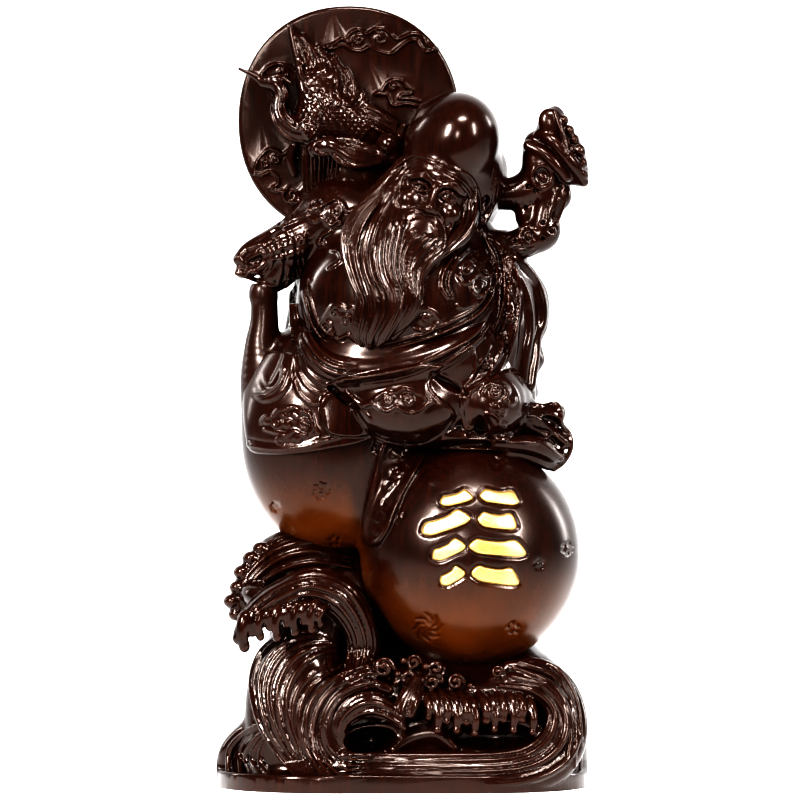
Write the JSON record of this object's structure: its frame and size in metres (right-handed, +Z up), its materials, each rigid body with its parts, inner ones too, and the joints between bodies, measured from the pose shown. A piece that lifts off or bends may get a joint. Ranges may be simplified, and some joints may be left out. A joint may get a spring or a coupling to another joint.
{
  "type": "carved wooden figure",
  "caption": "Carved dark wood figure of a bearded elder with staff and sun disc, seated on a gourd above breaking waves, on an oval-ended foot.",
  "frame": {"origin": "middle of the flat underside of the foot", "axes": "+Z up through the figure to the top of the disc, -Y out of the front that the face looks to, +X to the viewer's right"},
  "size_m": [0.1927, 0.134, 0.4004],
  "materials": {
    "dark_wood": "dark stained and lacquered, glossy"
  },
  "bodies": {
    "root": {"shoulao_figure": "dark_wood"}
  },
  "joints": []
}
